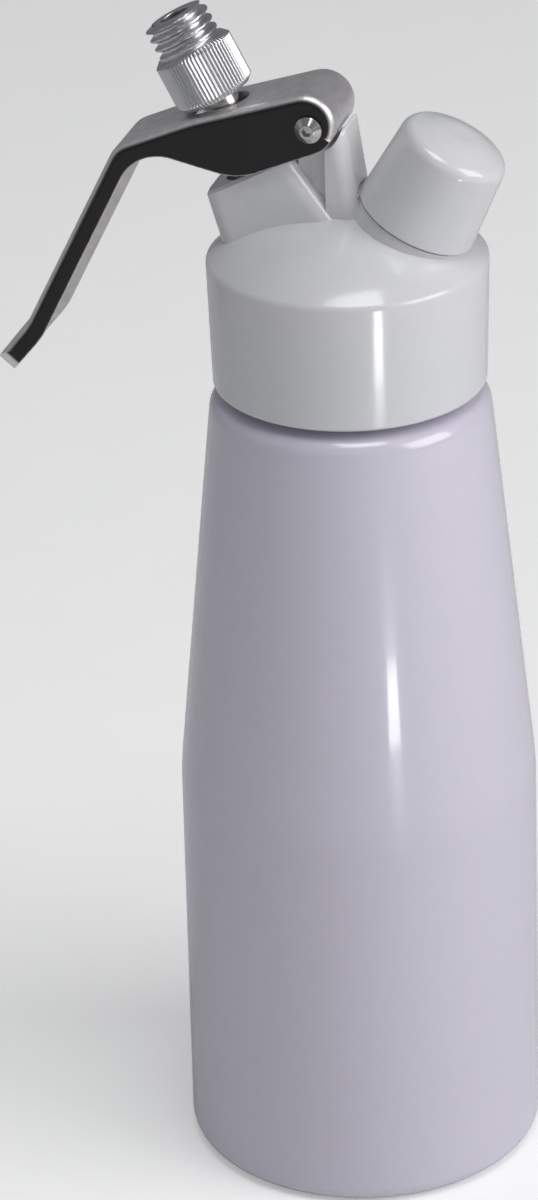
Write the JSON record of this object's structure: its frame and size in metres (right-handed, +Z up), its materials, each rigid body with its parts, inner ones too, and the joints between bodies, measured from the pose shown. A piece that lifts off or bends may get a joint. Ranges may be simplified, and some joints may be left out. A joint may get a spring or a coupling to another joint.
{
  "type": "whipped cream dispenser",
  "caption": "Pressurised cream whipper: tall tapered bottle with domed screw-on head, sprung lever valve with a tilted nozzle collar, and a capped charger port.",
  "frame": {"origin": "centre of the bottle's base, on the surface it stands on", "axes": "+Z up along the bottle's axis, +X toward the capped charger port, -X toward the lever's handle; the object is symmetric across the XZ plane"},
  "size_m": [0.117, 0.08, 0.2672],
  "materials": {
    "body_enamel": "gloss white enamel",
    "head_plastic": "gloss white",
    "seal_rubber": "matt silicone",
    "plain_aluminium": "satin",
    "guide_plastic": "matt",
    "stainless": "fine turned",
    "spring_steel": "bright wire",
    "lever_steel": "polished stainless steel",
    "port_brass": "nickel plated"
  },
  "bodies": {
    "bottle": {"bottle": "body_enamel"},
    "head_lift": {"head_gasket": "seal_rubber"},
    "head": {"head_shell": "head_plastic", "thread_insert": "plain_aluminium", "valve_guide": "guide_plastic", "stem_ring": "seal_rubber", "valve_spring": "spring_steel", "pivot_axle": "stainless", "pivot_screws": "stainless", "charger_port": "port_brass", "port_seal": "seal_rubber", "pin_gasket": "seal_rubber", "piercing_pin": "stainless", "check_valve_body": "guide_plastic", "check_valve_sleeve": "seal_rubber"},
    "lever": {"lever": "lever_steel"},
    "valve": {"valve_stem": "stainless", "valve_seal": "seal_rubber"},
    "adapter_lift": {"adapter_seal": "seal_rubber"},
    "adapter": {"nozzle_adapter": "plain_aluminium"},
    "cap_lift": {"port_cap_liner": "seal_rubber"},
    "cap": {"port_cap": "head_plastic"}
  },
  "joints": [
    {"name": "head_lift", "type": "slide", "parent": "bottle", "child": "head_lift", "axis": [0, 0, 1], "range_m": [0, 0.008]},
    {"name": "head_turn", "type": "hinge", "parent": "head_lift", "child": "head", "pos_m": [0, 0, 0.1935], "axis": [0, 0, 1], "range_deg": [0, 720]},
    {"name": "lever_press", "type": "hinge", "parent": "head", "child": "lever", "pos_m": [-0.0052, 0, 0.2445], "axis": [0, -1, 0], "range_deg": [0, 12]},
    {"name": "valve_slide", "type": "slide", "parent": "head", "child": "valve", "axis": [0.4587, 0, -0.8886], "range_m": [0, 0.0032], "deforming": ["valve_spring"]},
    {"name": "adapter_lift", "type": "slide", "parent": "valve", "child": "adapter_lift", "axis": [-0.4587, 0, 0.8886], "range_m": [0, 0.006]},
    {"name": "adapter_turn", "type": "hinge", "parent": "adapter_lift", "child": "adapter", "pos_m": [-0.03027, 0, 0.25215], "axis": [-0.4587, 0, 0.8886], "range_deg": [0, 1440]},
    {"name": "cap_lift", "type": "slide", "parent": "head", "child": "cap_lift", "axis": [0.4587, 0, 0.8886], "range_m": [0, 0.009]},
    {"name": "cap_turn", "type": "hinge", "parent": "cap_lift", "child": "cap", "pos_m": [0.01926, 0, 0.23082], "axis": [0.4587, 0, 0.8886], "range_deg": [0, 1440]}
  ],
  "couplings": [
    {"joint": "head_lift", "follows": "head_turn", "m_per_rad": 0.0006366},
    {"joint": "valve_slide", "follows": "lever_press", "m_per_rad": 0.01527},
    {"joint": "adapter_lift", "follows": "adapter_turn", "m_per_rad": 0.0002387},
    {"joint": "cap_lift", "follows": "cap_turn", "m_per_rad": 0.000358}
  ]
}
